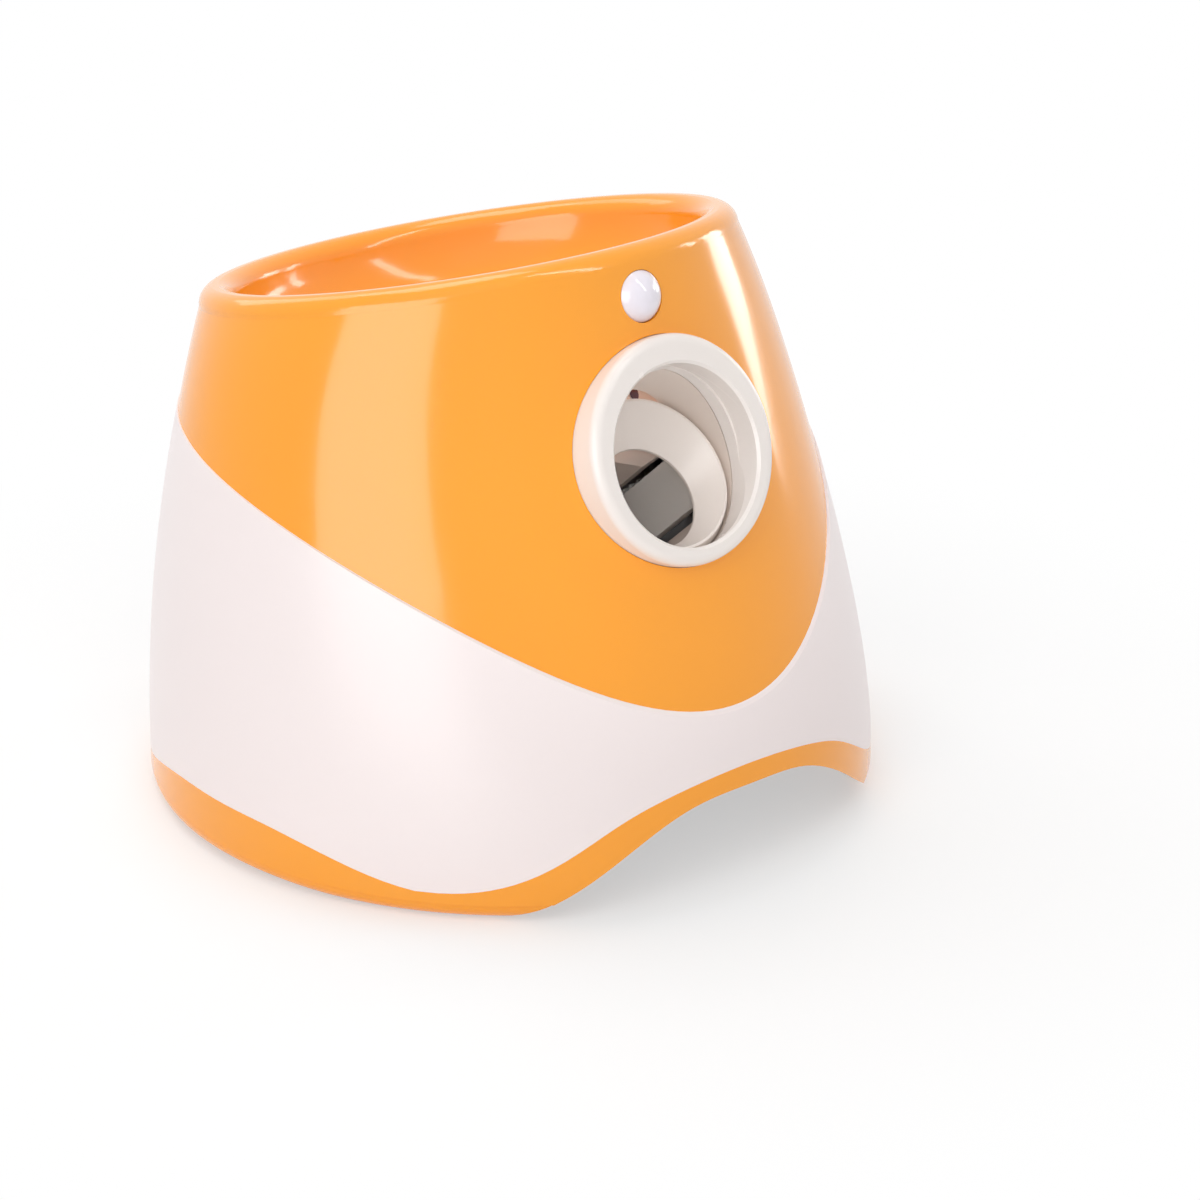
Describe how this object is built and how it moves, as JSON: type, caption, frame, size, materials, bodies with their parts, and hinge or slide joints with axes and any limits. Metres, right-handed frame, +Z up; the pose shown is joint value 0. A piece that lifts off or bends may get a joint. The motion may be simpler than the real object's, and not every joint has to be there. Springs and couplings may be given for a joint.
{
  "type": "automatic dog ball launcher",
  "caption": "Bucket-shaped ball launcher for dogs with an open hopper on top, a sloped muzzle ring in front and a geared spring plunger inside.",
  "frame": {"origin": "centre of the casing's footprint on the floor", "axes": "+Z up, the muzzle faces -Y, X = 0 is the casing's middle plane"},
  "size_m": [0.2404, 0.2366, 0.1921],
  "materials": {
    "orange shell": "glossy moulded plastic",
    "white shell": "glossy moulded plastic",
    "cream ring": "satin moulded plastic",
    "white nylon": "smooth nylon",
    "grey chassis": "satin moulded plastic",
    "black rubber": "matt rubber",
    "zinc screws": "zinc plated",
    "spring steel": "drawn wire",
    "ground steel": "ground steel",
    "brass": "machined brass",
    "panel plastic": "satin moulded plastic",
    "button plastic": "glossy moulded plastic",
    "milky lens": "translucent moulded plastic",
    "circuit board": "solder mask",
    "sensor can": "metal can",
    "infrared lamp": "dark tinted resin",
    "capacitor sleeve": "shrunk sleeve",
    "white socket": "moulded nylon"
  },
  "bodies": {
    "casing": {"ball_emitter": "infrared lamp", "ball_receiver": "infrared lamp", "barrel_screws": "zinc screws", "base_deck": "grey chassis", "base_trim": "orange shell", "battery_plates": "spring steel", "battery_springs": "spring steel", "board_screws": "zinc screws", "board_sockets": "white socket", "body_shell": "white shell", "button_switch": "panel plastic", "buzzer": "panel plastic", "control_board": "circuit board", "control_chip": "panel plastic", "dc_jack": "panel plastic", "dc_jack_pin": "brass", "deck_screws": "zinc screws", "first_pin": "ground steel", "frame_screws": "zinc screws", "gearbox_base": "grey chassis", "gearbox_cover": "grey chassis", "gearbox_screws": "zinc screws", "indicator_lenses": "milky lens", "launch_barrel": "cream ring", "launch_spring": "spring steel", "motor_can": "ground steel", "motor_driver": "panel plastic", "motor_end_cap": "panel plastic", "motor_screws": "zinc screws", "muzzle_ring": "cream ring", "panel_board": "circuit board", "panel_screws": "zinc screws", "plunger_bumper": "black rubber", "power_capacitor": "capacitor sleeve", "rear_frame": "cream ring", "rear_panel": "panel plastic", "rubber_feet": "black rubber", "second_pin": "ground steel", "sensor_board": "circuit board", "sensor_element": "sensor can", "sensor_lens": "milky lens", "shaft_bushes": "brass", "shell_screws": "zinc screws", "spring_rod": "spring steel", "top_shell": "orange shell"},
    "plunger": {"plunger_cup": "cream ring", "plunger_rack": "white nylon"},
    "sector": {"sector_gear": "white nylon", "final_gear": "white nylon", "sector_shaft": "ground steel"},
    "second": {"second_gear": "white nylon"},
    "first": {"first_gear": "white nylon"},
    "rotor": {"motor_pinion": "brass", "motor_shaft": "ground steel"},
    "button": {"power_button": "button plastic"},
    "door": {"battery_door": "grey chassis"}
  },
  "joints": [
    {"name": "sector_turn", "type": "hinge", "parent": "casing", "child": "sector", "pos_m": [0.0505, -0.02741, 0.08166], "axis": [0, -0.6691, -0.7431], "range_deg": [0, 180]},
    {"name": "plunger_slide", "type": "slide", "parent": "casing", "child": "plunger", "axis": [0, 0.7431, -0.6691], "range_m": [0, 0.0519], "stiffness_N_per_m": 300, "springref_m": -0.02, "deforming": ["launch_spring"]},
    {"name": "second_turn", "type": "hinge", "parent": "casing", "child": "second", "pos_m": [0.07307, -0.0213, 0.07616], "axis": [0, -0.6691, -0.7431], "range_deg": [-541, 0]},
    {"name": "first_turn", "type": "hinge", "parent": "casing", "child": "first", "pos_m": [0.09013, -0.03017, 0.08415], "axis": [0, -0.6691, -0.7431], "range_deg": [0, 1801]},
    {"name": "rotor_turn", "type": "hinge", "parent": "casing", "child": "rotor", "pos_m": [0.07928, -0.03852, 0.09167], "axis": [0, -0.6691, -0.7431], "range_deg": [-6001, 0]},
    {"name": "button_press", "type": "slide", "parent": "casing", "child": "button", "axis": [0, -0.9751, -0.2215], "range_m": [0, 0.0012], "stiffness_N_per_m": 500, "springref_m": -0.001},
    {"name": "door_slide", "type": "slide", "parent": "casing", "child": "door", "axis": [0, -1, 0], "range_m": [0, 0.086]}
  ],
  "couplings": [
    {"joint": "plunger_slide", "follows": "sector_turn", "m_per_rad": 0.0165},
    {"joint": "second_turn", "follows": "sector_turn", "ratio": -3},
    {"joint": "first_turn", "follows": "sector_turn", "ratio": 10},
    {"joint": "rotor_turn", "follows": "sector_turn", "ratio": -33.333}
  ]
}
